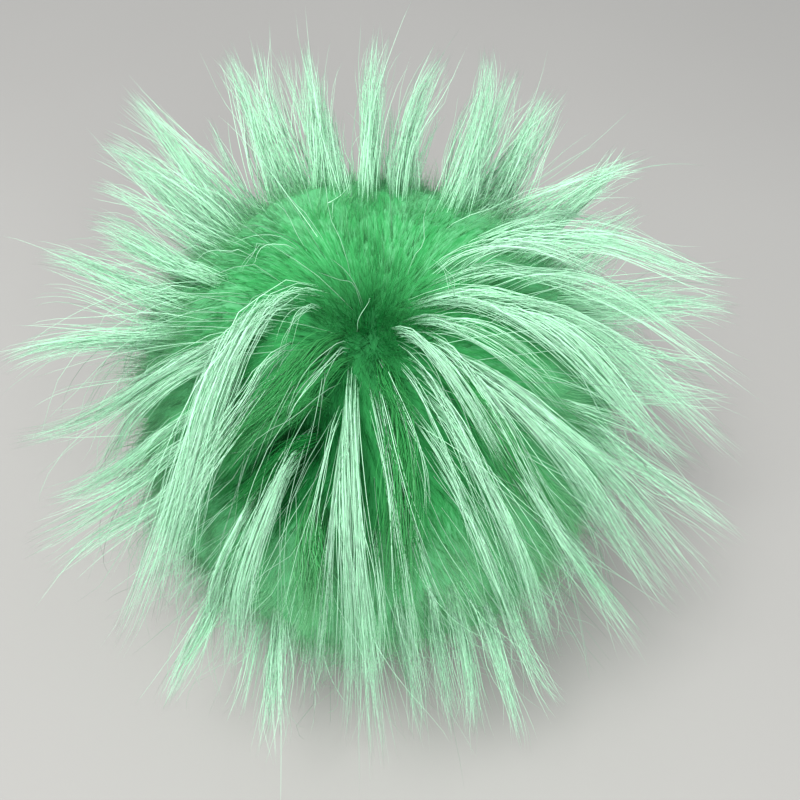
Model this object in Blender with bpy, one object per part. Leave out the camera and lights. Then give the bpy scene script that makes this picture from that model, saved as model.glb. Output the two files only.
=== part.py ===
"""A pom pom of long-haired fur, standing on a floor.

One round of fur is gathered into a ball. Its dense underfur is a lumpy ball with a deep parting at the
crown, and its guard hairs leave that ball in locks: they arch over, hang, and at the foot lie level on the
floor. A bearing is in degrees, seen from above: 0 is +Y, 90 is +X. A rise is in degrees above the level of
the ball's middle. Lengths are in metres, +Z is up, and the floor is at z = 0.
"""

import itertools
import math

import bmesh
import bpy
import numpy as np
from mathutils import Vector, noise
from mathutils.bvhtree import BVHTree

NAME = "pom_pom"
FUR_GREEN = (0.078, 0.420, 0.125, 1.0)
FUR_ROUGHNESS = 0.75

# The ball of underfur
BALL_RADIUS = 0.070
BALL_MIDDLE_Z = 0.065
BALL_SUBDIVISIONS = 3
LUMP_HEIGHT = 0.0030
LUMP_SIZE = 0.030
FURRED_FROM_Z = 0.0065

# Hollows in the ball, where the fur parts: the crown, and a gap beside the front locks
HOLLOW_COLUMNS = ("bearing", "rise", "depth", "spread_deg")
HOLLOWS = (
    (180, 84, 0.018, 17),
    (214, 56, 0.010, 13),
)

# A lock: three sides, its flat side turned to the ball or the floor
LOCK_STEPS = 5
LOCK_WIDTH = 0.0105
WIDTH_SPREAD = (0.85, 1.1)
THICKNESS_SHARE = 0.80
TIP_SHARE = 0.12
TAPER_POWER = 2.2
ROOT_INSET = 0.0022
ROOT_OUTLINE_SHARE = 0.2
LOCK_REACH = 0.112
REACH_SPREAD = 0.009
BALL_CLEARANCE = 0.0070
CLEARANCE_GAIN = 2.5
ARCH_SHARE = 0.30
CROWN_ARCH_SHARE = 0.14
ARRIVAL_SHARE = 0.30
SIDE_SPREAD_DEG = 5.0
LOCK_GAP = 0.0003
SLIMMER_SHARES = (1.0, 0.85, 0.7, 0.55, 0.45)
PLAIN_TRIES = 8
SEED = 7

# How far the tips fall: a tip's rise is the root's rise times a share, less a drop
FALL_COLUMNS = ("where", "share", "drop_deg")
FALLS = (
    ("rear", 0.66, 2.0),
    ("front", 0.36, 27.0),
)

# The foot: locks rooted below this rise lie on the floor, the shorter the lower they leave the ball
FOOT_RISE = -14.0
FOOT_REACH_TOP = 0.106
FOOT_REACH_LOW = 0.060
FOOT_LOWEST_RISE = -62.0
FOOT_SPREAD = (0.94, 1.04)
LEVEL_FROM_STEP = 2

# The locks that stand out: the two longest, then clockwise from the rear. Reach is from the ball's middle
# to the tip.
MAIN_COLUMNS = ("root_bearing", "root_rise", "tip_bearing", "tip_rise", "reach", "width")
MAIN_LOCKS = (
    (184, 58, 181, -21, 0.121, 0.015),
    (238, 70, 235, -6, 0.120, 0.014),
    (358, 60, 0, 46, 0.121, 0.015),
    (10, 52, 14, 43, 0.119, 0.011),
    (8, 40, 5, 20, 0.112, 0.010),
    (28, 52, 26, 45, 0.118, 0.012),
    (42, 44, 38, 34, 0.120, 0.012),
    (52, 50, 58, 35, 0.120, 0.011),
    (58, 36, 58, 14, 0.116, 0.010),
    (64, 55, 77, 27, 0.119, 0.012),
    (72, 30, 75, 5, 0.114, 0.010),
    (78, 60, 90, 18, 0.119, 0.013),
    (92, 40, 92, 0, 0.113, 0.011),
    (95, 72, 109, 14, 0.121, 0.014),
    (106, 50, 106, -2, 0.114, 0.011),
    (116, 46, 119, 3, 0.119, 0.012),
    (122, 38, 119, -14, 0.112, 0.010),
    (134, 54, 134, -4, 0.118, 0.011),
    (140, 42, 143, -12, 0.116, 0.011),
    (152, 54, 151, -12, 0.120, 0.012),
    (164, 42, 162, -20, 0.117, 0.011),
    (172, 36, 171, -18, 0.119, 0.011),
    (194, 38, 192, -17, 0.115, 0.010),
    (206, 44, 203, -22, 0.117, 0.013),
    (214, 24, 213, -16, 0.115, 0.011),
    (224, 34, 226, -14, 0.117, 0.012),
    (242, 40, 246, 2, 0.118, 0.011),
    (256, 56, 255, 13, 0.121, 0.012),
    (262, 30, 262, -4, 0.112, 0.010),
    (272, 40, 268, 20, 0.118, 0.011),
    (284, 28, 280, 15, 0.119, 0.012),
    (290, 46, 292, 24, 0.116, 0.011),
    (300, 36, 300, 22, 0.116, 0.011),
    (308, 50, 304, 40, 0.119, 0.013),
    (320, 46, 314, 30, 0.114, 0.010),
    (330, 56, 324, 50, 0.121, 0.014),
    (342, 50, 344, 41, 0.118, 0.012),
    (352, 44, 351, 20, 0.112, 0.010),
)


def direction(bearing, rise):
    turn = math.radians(bearing)
    lift = math.radians(rise)
    return Vector((math.cos(lift) * math.sin(turn), math.cos(lift) * math.cos(turn), math.sin(lift)))


def bearing_and_rise(way):
    bearing = math.degrees(math.atan2(way.x, way.y)) % 360
    return bearing, math.degrees(math.asin(max(-1.0, min(1.0, way.normalized().z))))


def middle():
    return Vector((0, 0, BALL_MIDDLE_Z))


def frontness(bearing):
    """0 at the rear, 1 at the front."""
    return 0.5 - 0.5 * math.cos(math.radians(bearing))


def ball_radius(way):
    """The underfur's own radius that way, with its lumps and hollows."""
    radius = BALL_RADIUS + LUMP_HEIGHT * noise.noise(way * BALL_RADIUS / LUMP_SIZE)
    for row in HOLLOWS:
        hollow = dict(zip(HOLLOW_COLUMNS, row))
        away = math.degrees(way.angle(direction(hollow["bearing"], hollow["rise"])))
        radius -= hollow["depth"] * math.exp(-((away / hollow["spread_deg"]) ** 2))
    return radius


def shape_ball(ball):
    for vert in ball.verts:
        way = vert.co.normalized()
        vert.co = middle() + way * ball_radius(way)
        vert.co.z = max(vert.co.z, 0.0)


def tip_rise_of(bearing, rise):
    """Where a plain lock's tip comes to rest, blended from the rear's fall to the front's."""
    rear, front = (dict(zip(FALL_COLUMNS, row)) for row in FALLS)
    share = frontness(bearing)
    keep = rear["share"] + (front["share"] - rear["share"]) * share
    drop = rear["drop_deg"] + (front["drop_deg"] - rear["drop_deg"]) * share
    return rise * keep - drop


def main_lock(row):
    lock = dict(zip(MAIN_COLUMNS, row))
    lock["way"] = direction(lock["root_bearing"], lock["root_rise"])
    lock["tip"] = middle() + direction(lock["tip_bearing"], lock["tip_rise"]) * lock["reach"]
    lock["level"] = False
    return lock


def plain_lock(way, chance):
    """A lock between the main ones, with its own small change of bearing and reach."""
    bearing, rise = bearing_and_rise(way)
    tip_bearing = bearing + SIDE_SPREAD_DEG * chance.uniform(-1, 1)
    reach = LOCK_REACH + REACH_SPREAD * chance.uniform(-1, 1)
    lock = {"way": way, "width": LOCK_WIDTH * chance.uniform(*WIDTH_SPREAD)}
    lock["level"] = rise < FOOT_RISE
    if lock["level"]:
        low = min(1.0, (FOOT_RISE - rise) / (FOOT_RISE - FOOT_LOWEST_RISE))
        reach = FOOT_REACH_TOP + (FOOT_REACH_LOW - FOOT_REACH_TOP) * low
        reach *= chance.uniform(*FOOT_SPREAD)
        lock["tip"] = direction(tip_bearing, 0) * reach
    else:
        tip_rise = tip_rise_of(bearing, rise)
        lock["tip"] = middle() + direction(tip_bearing, tip_rise) * reach
    return lock


def widths(lock):
    """Half the lock's width at each step: full near the root, fine at the tip."""
    along = np.linspace(1 / LOCK_STEPS, 1, LOCK_STEPS)
    return 0.5 * lock["width"] * (TIP_SHARE + (1 - TIP_SHARE) * (1 - along**TAPER_POWER))


def thickness(half):
    return 2 * half * THICKNESS_SHARE


def lock_points(lock, root):
    """The middle of the lock at each step, clear of the ball and the floor."""
    tip = lock["tip"]
    way = lock["way"]
    arch = ARCH_SHARE + CROWN_ARCH_SHARE * max(0.0, way.z)
    push = root + way * (arch * (tip - root).length)
    arrival = (tip - push).normalized()
    if lock["level"]:
        arrival = Vector((tip.x, tip.y, 0)).normalized()
    settle = tip - arrival * (ARRIVAL_SHARE * (tip - root).length)
    points = []
    for step, half in enumerate(widths(lock), start=1):
        s = step / LOCK_STEPS
        point = root * (1 - s) ** 3 + push * 3 * s * (1 - s) ** 2
        point += settle * 3 * s**2 * (1 - s) + tip * s**3
        out = point - middle()
        least = ball_radius(out.normalized()) + BALL_CLEARANCE * min(1.0, CLEARANCE_GAIN * s)
        if out.length < least:
            point = middle() + out * (least / out.length)
        point.z = max(point.z, thickness(half) / 3)
        points.append(point)
    return points


def turned_to(corners, ring):
    """The ring's three corners, turned so that the lock twists least from the corners before them."""
    turns = [[ring[(turn + i) % 3] for i in range(3)] for turn in range(3)]
    turns += [[ring[(turn - i) % 3] for i in range(3)] for turn in range(3)]
    facing = (corners[1] - corners[0]).cross(corners[2] - corners[0])
    shift = sum(corners, Vector()) / 3 - sum(ring, Vector()) / 3

    def twist(turn):
        looks = (turn[1] - turn[0]).cross(turn[2] - turn[0])
        if looks.dot(facing) < 0:
            return math.inf
        return sum((place + shift - corner).length_squared for place, corner in zip(turn, corners))

    return min(turns, key=twist)


def lock_rings(lock, corners):
    """Three corners at each step, from the root's own: a flat side below or inside, and a ridge above it."""
    root = sum(corners, Vector()) / 3
    points = lock_points(lock, root)
    chord = points[-1] - root
    side = Vector((chord.y, -chord.x, 0)).normalized()
    rings = [corners]
    before = root
    for step, (point, half) in enumerate(zip(points, widths(lock))):
        after = points[min(step + 1, LOCK_STEPS - 1)]
        along = (after - before).normalized()
        across = (side - along * side.dot(along)).normalized()
        ridge = across.cross(along) * thickness(half)
        flat = point - ridge / 3
        if lock["level"] and step >= LEVEL_FROM_STEP:
            flat.z = 0.0
            ridge = Vector((0, 0, thickness(half)))
        ring = turned_to(rings[-1], [flat - across * half, flat + across * half, flat + ridge])
        if step == 0:
            # The first ring keeps some of the root's own outline, so that the sides don't twist.
            carried = [corner + point - root for corner in corners]
            ring = [place.lerp(own, ROOT_OUTLINE_SHARE) for own, place in zip(carried, ring)]
        sunk = min(0.0, min(corner.z for corner in ring))
        rings.append([corner - Vector((0, 0, sunk)) for corner in ring])
        before = point
    return rings


def lock_triangles(steps):
    """A lock's sides and end as corner numbers. A side is not quite flat, so it is split both ways."""
    last = 3 * steps
    triangles = [(last, last + 1, last + 2)]
    for first in range(0, last, 3):
        for i in range(3):
            j = (i + 1) % 3
            side = (first + i, first + j, first + 3 + j, first + 3 + i)
            triangles += itertools.combinations(side, 3)
    return triangles


def lock_tree(rings):
    corners = [corner for ring in rings for corner in ring]
    return BVHTree.FromPolygons(corners, lock_triangles(len(rings) - 1), epsilon=LOCK_GAP)


def twists(rings):
    """True where the sides of the lock's first step pass through each other."""
    triangles = lock_triangles(1)
    tree = lock_tree(rings[:2])
    return any(set(triangles[a]).isdisjoint(triangles[b]) for a, b in tree.overlap(tree))


def stands_clear(rings, face, ball_tree, laid):
    """True where the lock rises from its root, clear of the ball beyond it and of every lock laid."""
    if min((corner - rings[0][0]).dot(face.normal) for corner in rings[1]) < ROOT_INSET:
        return False
    tree = lock_tree(rings)
    root = {near.index for vert in face.verts for near in vert.link_faces}
    if twists(rings) or any(touched not in root for _, touched in tree.overlap(ball_tree)):
        return False
    return not any(tree.overlap(other) for other in laid)


def face_for(lock, faces, taken):
    """The free face that looks most nearly the way the lock's root leaves the ball."""
    free = [face for face in faces if face not in taken]
    return max(free, key=lambda face: (face.calc_center_median() - middle()).normalized().dot(lock["way"]))


def choose_locks(ball, faces):
    """The rings for each face that gets a lock: the main locks first, then the plain ones that find room."""
    chance = np.random.default_rng(SEED)
    ball.faces.index_update()
    ball.normal_update()
    ball_tree = BVHTree.FromBMesh(ball)
    chosen = {}
    laid = []

    def lay(face, lock):
        corners = [vert.co.copy() for vert in face.verts]
        for slimmer in SLIMMER_SHARES:
            rings = lock_rings(dict(lock, width=lock["width"] * slimmer), corners)
            if stands_clear(rings, face, ball_tree, laid):
                chosen[face] = rings
                laid.append(lock_tree(rings))
                return

    for row in MAIN_LOCKS:
        lock = main_lock(row)
        lay(face_for(lock, faces, chosen), lock)
    for face in faces:
        way = (face.calc_center_median() - middle()).normalized()
        for _ in range(PLAIN_TRIES):
            if face not in chosen:
                lay(face, plain_lock(way, chance))
    return chosen


def grow_lock(ball, face, rings):
    for ring in rings[1:]:
        made = bmesh.ops.extrude_discrete_faces(ball, faces=[face])
        face = made["faces"][0]
        for vert, place in zip(face.verts, ring):
            vert.co = place


def centre_over_base(ball):
    """Moves the whole sideways, so that its origin is under the middle of its box."""
    for axis in range(2):
        places = [vert.co[axis] for vert in ball.verts]
        shift = (min(places) + max(places)) / 2
        for vert in ball.verts:
            vert.co[axis] -= shift


def fur_material():
    material = bpy.data.materials.new("fur")
    material.use_nodes = True
    shader = material.node_tree.nodes["Principled BSDF"]
    shader.inputs["Base Color"].default_value = FUR_GREEN
    shader.inputs["Roughness"].default_value = FUR_ROUGHNESS
    shader.inputs["Metallic"].default_value = 0.0
    return material


def build_pom_pom(collection):
    ball = bmesh.new()
    bmesh.ops.create_icosphere(ball, subdivisions=BALL_SUBDIVISIONS, radius=BALL_RADIUS)
    shape_ball(ball)
    furred = [face for face in ball.faces if face.calc_center_median().z > FURRED_FROM_Z]
    bmesh.ops.inset_individual(ball, faces=furred, thickness=ROOT_INSET)
    for face, rings in choose_locks(ball, furred).items():
        grow_lock(ball, face, rings)
    centre_over_base(ball)
    mesh = bpy.data.meshes.new(NAME)
    ball.to_mesh(mesh)
    ball.free()
    mesh.materials.append(fur_material())
    pom_pom = bpy.data.objects.new(NAME, mesh)
    collection.objects.link(pom_pom)
    return pom_pom


def main():
    for obj in list(bpy.data.objects):
        bpy.data.objects.remove(obj)
    collection = bpy.data.collections.new(NAME)
    bpy.context.scene.collection.children.link(collection)
    build_pom_pom(collection)


main()
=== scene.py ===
import math

import bmesh
import bpy
import numpy as np
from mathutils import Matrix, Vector, kdtree, noise


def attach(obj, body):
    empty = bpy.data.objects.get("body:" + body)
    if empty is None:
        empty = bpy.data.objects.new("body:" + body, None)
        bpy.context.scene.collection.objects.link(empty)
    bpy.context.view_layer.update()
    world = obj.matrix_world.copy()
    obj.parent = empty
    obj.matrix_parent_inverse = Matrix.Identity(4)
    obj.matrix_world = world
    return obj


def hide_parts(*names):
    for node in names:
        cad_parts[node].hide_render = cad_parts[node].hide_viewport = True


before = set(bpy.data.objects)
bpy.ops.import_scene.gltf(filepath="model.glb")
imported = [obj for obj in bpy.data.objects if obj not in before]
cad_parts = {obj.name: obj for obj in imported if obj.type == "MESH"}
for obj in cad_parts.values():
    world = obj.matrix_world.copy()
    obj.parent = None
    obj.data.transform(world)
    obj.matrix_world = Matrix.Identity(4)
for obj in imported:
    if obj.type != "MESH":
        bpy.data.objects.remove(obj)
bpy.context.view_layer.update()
chance = np.random.default_rng(11)
noise.seed_set(11)  # without it, noise_vector differs each run

# The ball of underfur, as in the solid. A bearing is 0 at the rear and 90 on the right, seen from above, and a
# rise is in degrees above the level of the ball's middle. Lengths are in metres.
ball = {
    "middle": np.array((0.0007, -0.0013, 0.0650)),
    "radius": 0.0700,
    "lumpHeight": 0.0030,
    "lumpSize": 0.030,
    "hollows": ((180, 84, 0.018, 17), (200, 47, 0.011, 10), (210, 35, 0.006, 9)),  # bearing, rise, depth, spread
    "parting": ((186, 82), (181, 71)),  # a short line at the crown, and the fur is combed away from it
    "swirl": (3.2, 0.9),  # how close the turns of the combed fur are, and how far it turns, in radians
    "fluff": (0.0075, 0.0180),  # how far the underfur stands out, at the upper rear and at the lower front
    "hangs": (192, -30),  # where it stands out furthest
    "lowest": 0.0004,  # the hairs keep this far off the floor
}
photoFrom = (180, 57)  # the bearing and the rise from which the photograph was taken
quarters = ("Rear", "Right", "Front", "Left")


def way(bearing, rise):
    turn, lift = np.radians(bearing), np.radians(rise)
    return np.stack((np.cos(lift) * np.sin(turn), np.cos(lift) * np.cos(turn), np.sin(lift)), -1)


def bearingOf(ways):
    return np.degrees(np.arctan2(ways[..., 0], ways[..., 1])) % 360


def riseOf(ways):
    return np.degrees(np.arcsin(ways[..., 2]))


def quarterOf(ways):
    return ((bearingOf(ways) + 45) % 360 // 90).astype(int)


def unit(vectors):
    return vectors / np.maximum(np.linalg.norm(vectors, axis=-1, keepdims=True), 1e-12)


def noiseAt(places):
    values = [noise.noise(Vector(one)) for one in places.reshape(-1, 3)]
    return np.array(values).reshape(places.shape[:-1])


def nearness(ways, bearing, rise, spread):
    away = np.degrees(np.arccos(np.clip(ways @ way(bearing, rise), -1, 1)))
    return np.exp(-((away / spread) ** 2))


def ballRadius(ways):
    flat = ways.reshape(-1, 3)
    radius = ball["radius"] + ball["lumpHeight"] * noiseAt(flat * (ball["radius"] / ball["lumpSize"]))
    for bearing, rise, depth, spread in ball["hollows"]:
        radius -= depth * nearness(flat, bearing, rise, spread)
    return radius.reshape(ways.shape[:-1])


def onBall(one):
    return ball["middle"] + one * ballRadius(one[None])[0]


def evenWays(count):
    # Ways spread evenly over a ball, one golden angle after another
    steps = np.arange(count) + 0.5
    return way(steps * 137.508, np.degrees(np.arcsin(1 - 2 * steps / count)))


partingEnds = way(*np.array(ball["parting"]).T)
crownWay = unit(partingEnds.sum(0))


def nearParting(ways):
    first, last = partingEnds
    along = np.clip((ways - first) @ (last - first) / ((last - first) @ (last - first)), 0, 1)
    return unit(first + along[..., None] * (last - first))


def fromParting(ways):
    return np.arccos(np.clip((ways * nearParting(ways)).sum(-1), -1, 1))


def combed(ways):
    # The way that the fur lies: away from the parting, along the ball, with a slow swirl
    near = nearParting(ways)
    away = unit(ways * (ways * near).sum(-1, keepdims=True) - near)
    closeness, most = ball["swirl"]
    turn = noiseAt(ways * closeness)[..., None] * most
    return away * np.cos(turn) + np.cross(ways, away) * np.sin(turn)


def fluffOf(ways):
    least, most = ball["fluff"]
    return least + (most - least) * (0.5 + 0.5 * (ways @ way(*ball["hangs"])))


def aroundCrown(ways):
    # The turn round the crown as a place on a circle, and the fall away from it in radians
    across = unit(np.cross(crownWay, (1.0, 0.0, 0.0)))
    turn = np.arctan2(ways @ across, ways @ np.cross(across, crownWay))
    return np.stack((np.cos(turn), np.sin(turn), np.arccos(np.clip(ways @ crownWay, -1, 1))), -1)


# How light the underfur is painted: 0 where it is deep and dark with painted shade, 1 where it is pale at the rim,
# partly from the fur's paler tips and partly as painted light where the rim is lit from behind
furToneAndPaintedShade = {
    "atCrown": 0.57,
    "outward": (0.11, 0.46),  # how much lighter it gets away from the crown: evenly, and then close to the rim
    "between": (8, 46),  # degrees from the crown where that starts, and how many it takes
    # The spots that darken are painted shade, at the parting, round the hollows and low at the front; the one that
    # lightens makes the right side paler
    "spots": (  # bearing, rise, spread, change
        (183, 77, 12, -0.34),
        (180, -5, 40, -0.17),
        (200, 46, 9, -0.80),
        (210, 34, 9, -0.45),
        (196, 58, 5, -0.45),
        (175, 50, 24, -0.26),
        (72, 40, 26, 0.16),
    ),
    "clouds": 4.5,
    "streaks": np.array((9.0, 9.0, 2.2)),  # close together across the fur, and long down it
    "uneven": 0.12,
}


def furToneAndPaintedShadeOf(ways):
    flow = aroundCrown(ways)
    start, run = furToneAndPaintedShade["between"]
    outer = np.clip((np.degrees(flow[..., 2]) - start) / run, 0, 1)
    light = furToneAndPaintedShade["atCrown"] + furToneAndPaintedShade["outward"][0] * outer + furToneAndPaintedShade["outward"][1] * outer**4
    for bearing, rise, spread, change in furToneAndPaintedShade["spots"]:
        light = light + change * nearness(ways, bearing, rise, spread)
    uneven = noiseAt(ways * furToneAndPaintedShade["clouds"]) + noiseAt(flow * furToneAndPaintedShade["streaks"])
    return np.clip(light + furToneAndPaintedShade["uneven"] * uneven, 0.0, 1.0)


# Every hair is one closed tube of three sides that ends in a point. Many hairs share a mesh. Its map gives each
# hair a tone across and runs from root to tip, so that the finish is the same wherever the hair lies.
strand = {
    "taper": 2.2,  # the higher it is, the longer a hair stays full before it is drawn out
    "rootRun": 0.25,  # the share of a hair that its finer root takes
    "mapEdge": 0.01,  # margins of the map, and the room on it for tones and for lengths
    "mapTones": 0.97,
    "mapLengths": 0.98,
    "mapFace": 0.003,  # the width of one face of a hair on the map
    "easeOver": 0.0025,  # how softly a hair is eased out of the fluff
    "fadeBelow": 0.045,  # the height below which it may lie deeper in it
}


def hairMesh(name, paths, radii, tones):
    hairs, points = paths.shape[:2]
    rings = points - 1
    along = unit(np.gradient(paths, axis=1))[:, :rings]
    outward = unit(paths[:, :rings] - ball["middle"])
    side = unit(np.cross(along, outward) + 1e-7)
    over = np.cross(side, along)
    turns = np.radians((90, 210, 330))
    corners = np.cos(turns)[:, None] * side[:, :, None] + np.sin(turns)[:, None] * over[:, :, None]
    corners = paths[:, :rings, None] + corners * radii[:, :rings, None, None]
    verts = np.concatenate((corners.reshape(hairs, rings * 3, 3), paths[:, -1:]), axis=1)

    faces, mapped = [(2, 1, 0)], [((0.0, 0.0), (1.0, 0.0), (0.5, 0.02))]
    for ring in range(rings - 1):
        for i in range(3):
            j = (i + 1) % 3
            low, high = ring * 3, ring * 3 + 3
            faces.append((low + i, low + j, high + j, high + i))
            v, w = ring / rings, (ring + 1) / rings
            mapped.append(((i, v), (i + 1, v), (i + 1, w), (i, w)))
    last = (rings - 1) * 3
    for i in range(3):
        faces.append((last + i, last + (i + 1) % 3, rings * 3))
        mapped.append(((i, (rings - 1) / rings), (i + 1, (rings - 1) / rings), (i + 0.5, 1.0)))

    sizes = np.array([len(face) for face in faces])
    corner = np.concatenate([np.array(face) for face in faces])
    places = np.concatenate([np.array(face) for face in mapped])
    perHair = rings * 3 + 1
    loops = (np.arange(hairs)[:, None] * perHair + corner).reshape(-1)
    starts = np.concatenate(((0,), np.cumsum(np.tile(sizes, hairs))[:-1]))
    uv = np.empty((hairs, len(corner), 2))
    uv[..., 0] = strand["mapEdge"] + strand["mapTones"] * tones[:, None] + places[:, 0] * strand["mapFace"]
    uv[..., 1] = strand["mapEdge"] + strand["mapLengths"] * places[:, 1]

    mesh = bpy.data.meshes.new(name)
    mesh.vertices.add(hairs * perHair)
    mesh.vertices.foreach_set("co", verts.reshape(-1).astype(np.float32))
    mesh.loops.add(len(loops))
    mesh.loops.foreach_set("vertex_index", loops.astype(np.int32))
    mesh.polygons.add(len(sizes) * hairs)
    mesh.polygons.foreach_set("loop_start", starts.astype(np.int32))
    mesh.uv_layers.new(name="OFBake").data.foreach_set("uv", uv.reshape(-1).astype(np.float32))
    mesh.update(calc_edges=True)
    mesh.validate()
    mesh.shade_smooth()
    return mesh


def addPiece(name, mesh, material):
    piece = bpy.data.objects.new(name, mesh)
    bpy.context.scene.collection.objects.link(piece)
    mesh.materials.append(material)
    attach(piece, "root")
    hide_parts("pom_pom")
    mesh.calc_loop_triangles()
    print(f"{name}: {len(mesh.loop_triangles)} triangles")
    return piece


def tubeRadii(hairs, rings, width, tipWidth, rootShare=1.0):
    # Fine where it leaves the fur, full along most of the length, then drawn out to a fine end
    along = np.linspace(0, 1, rings)
    full = tipWidth + (width - tipWidth) * (1 - along ** strand["taper"])
    full = full * (rootShare + (1 - rootShare) * np.minimum(1.0, along / strand["rootRun"]))
    return np.tile(full / 2, (hairs, 1))


def clearOfBall(paths, share):
    # Eases points out to a share of the fluff's depth, less so near the floor, and keeps them off the floor
    away = paths - ball["middle"]
    length = np.linalg.norm(away, axis=-1)
    ways = away / length[..., None]
    high = np.clip(paths[..., 2] / strand["fadeBelow"], 0, 1)
    over = length - ballRadius(ways) - fluffOf(ways) * share * high
    length = length - over + 0.5 * (over + np.sqrt(over**2 + strand["easeOver"] ** 2))
    paths = ball["middle"] + ways * length[..., None]
    paths[..., 2] = np.maximum(paths[..., 2], ball["lowest"])
    return paths


def newMaterial(name):
    material = bpy.data.materials.new(name)
    material.use_nodes = True
    return material, material.node_tree, material.node_tree.nodes["Principled BSDF"]


def feed(tree, node, inputs):
    # Each input is the name or the number of a socket, with a value to set or an output to link to it
    for socket, source in dict(inputs).items():
        if isinstance(source, bpy.types.NodeSocket):
            tree.links.new(source, node.inputs[socket])
        else:
            node.inputs[socket].default_value = source


def addNode(tree, kind, inputs=(), **settings):
    node = tree.nodes.new("ShaderNode" + kind)
    for setting, value in settings.items():
        setattr(node, setting, value)
    feed(tree, node, inputs)
    return node


# The colour of a hair from its map: dark at the root, then its own green, then its tip
strandInputs = (
    ("Root", "NodeSocketColor", (0.02, 0.2, 0.05, 1)),
    ("Middle", "NodeSocketColor", (0.1, 0.45, 0.15, 1)),
    ("Tip", "NodeSocketColor", (0.5, 0.85, 0.6, 1)),
    ("Middle At", "NodeSocketFloat", 0.4),
    ("Tip At", "NodeSocketFloat", 1.0),
    ("Darkest", "NodeSocketFloat", 0.5),
    ("Along", "NodeSocketFloat", 1.0),
    ("Start", "NodeSocketFloat", 0.0),
    ("Shift", "NodeSocketFloat", 0.3),
)
strandLook = {
    "brightest": 1.12,  # what the palest hair's colour is multiplied by, as Darkest is for the darkest
    "roughness": (0.62, 0.44),  # of the darkest hair and of the palest
    "sheenRoughness": 0.4,
    "sheenTint": (0.22, 1.0, 0.42, 1),
}


def makeStrandTint():
    tree = bpy.data.node_groups.new("strandTint", "ShaderNodeTree")
    for label, kind, value in strandInputs:
        tree.interface.new_socket(label, in_out="INPUT", socket_type=kind).default_value = value
    tree.interface.new_socket("Color", in_out="OUTPUT", socket_type="NodeSocketColor")
    tree.interface.new_socket("Roughness", in_out="OUTPUT", socket_type="NodeSocketFloat")
    given, result = tree.nodes.new("NodeGroupInput").outputs, tree.nodes.new("NodeGroupOutput")
    uvMap = addNode(tree, "UVMap", uv_map="OFBake")
    split = addNode(tree, "SeparateXYZ", {0: uvMap.outputs[0]})
    tone, along = split.outputs[0], split.outputs[1]

    def ranged(value, low, high, toLow=0.0, toHigh=1.0, kind="SMOOTHSTEP"):
        ends = {"Value": value, "From Min": low, "From Max": high, "To Min": toLow, "To Max": toHigh}
        return addNode(tree, "MapRange", ends, interpolation_type=kind).outputs[0]

    def mixed(share, first, second, blend="MIX"):
        ends = {0: share, 6: first, 7: second}  # its sockets for colours
        return addNode(tree, "Mix", ends, data_type="RGBA", blend_type=blend).outputs[2]

    def timesPlus(value, factor, added):
        return addNode(tree, "Math", enumerate((value, factor, added)), operation="MULTIPLY_ADD").outputs[0]

    # How far a hair is turned from root to tip colour: by its length, and more for a pale hair
    turned = timesPlus(along, given["Along"], given["Start"])
    turned = timesPlus(timesPlus(tone, 1.0, -0.5), given["Shift"], turned)
    toMiddle = ranged(turned, 0.0, given["Middle At"])
    toTip = ranged(turned, given["Middle At"], given["Tip At"])
    color = mixed(toTip, mixed(toMiddle, given["Root"], given["Middle"]), given["Tip"])
    # Darker as the tone falls: for the underfur and its tufts the tone carries painted shade, for the other hairs
    # it differs at random
    toneAndPaintedShade = ranged(tone, 0.0, 1.0, given["Darkest"], strandLook["brightest"], "LINEAR")
    grey = addNode(tree, "CombineColor", enumerate((toneAndPaintedShade, toneAndPaintedShade, toneAndPaintedShade)))
    feed(tree, result, {
        "Color": mixed(1.0, color, grey.outputs[0], "MULTIPLY"),
        "Roughness": ranged(tone, 0.0, 1.0, *strandLook["roughness"]),
    })
    return tree


strandTint = makeStrandTint()


def hairMaterial(look):
    material, tree, shader = newMaterial(look["name"])
    inputs = {label: look[label] for label, kind, value in strandInputs}
    tint = addNode(tree, "Group", inputs, node_tree=strandTint)
    feed(tree, shader, {
        "Base Color": tint.outputs["Color"],
        "Roughness": tint.outputs["Roughness"],
        "Specular IOR Level": look["shine"],
        "Sheen Weight": look["sheen"],
        "Sheen Roughness": strandLook["sheenRoughness"],
        "Sheen Tint": strandLook["sheenTint"],
    })
    if look["softness"]:
        # A soft coat takes the light as the ball does, more than as each hair does
        place = addNode(tree, "TexCoord")
        away = addNode(tree, "VectorMath", {0: place.outputs["Object"], 1: ball["middle"]}, operation="SUBTRACT")
        outward = addNode(tree, "VectorMath", {0: away.outputs[0]}, operation="NORMALIZE")
        ends = {0: look["softness"], 4: place.outputs["Normal"], 5: outward.outputs[0]}  # its sockets for vectors
        blend = addNode(tree, "Mix", ends, data_type="VECTOR")
        even = addNode(tree, "VectorMath", {0: blend.outputs[1]}, operation="NORMALIZE")
        feed(tree, shader, {"Normal": even.outputs[0]})
    return material


guardLook = {
    "name": "guardHair",
    "Root": (0.050, 0.420, 0.100, 1),
    "Middle": (0.340, 0.860, 0.480, 1),
    "Tip": (0.560, 0.980, 0.690, 1),
    "Middle At": 0.09,
    "Tip At": 0.38,
    "Darkest": 0.24,
    "Along": 1.0,
    "Start": 0.0,
    "Shift": 0.30,
    "shine": 0.45,
    "sheen": 0.0,
    "softness": 0.0,
}
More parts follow.
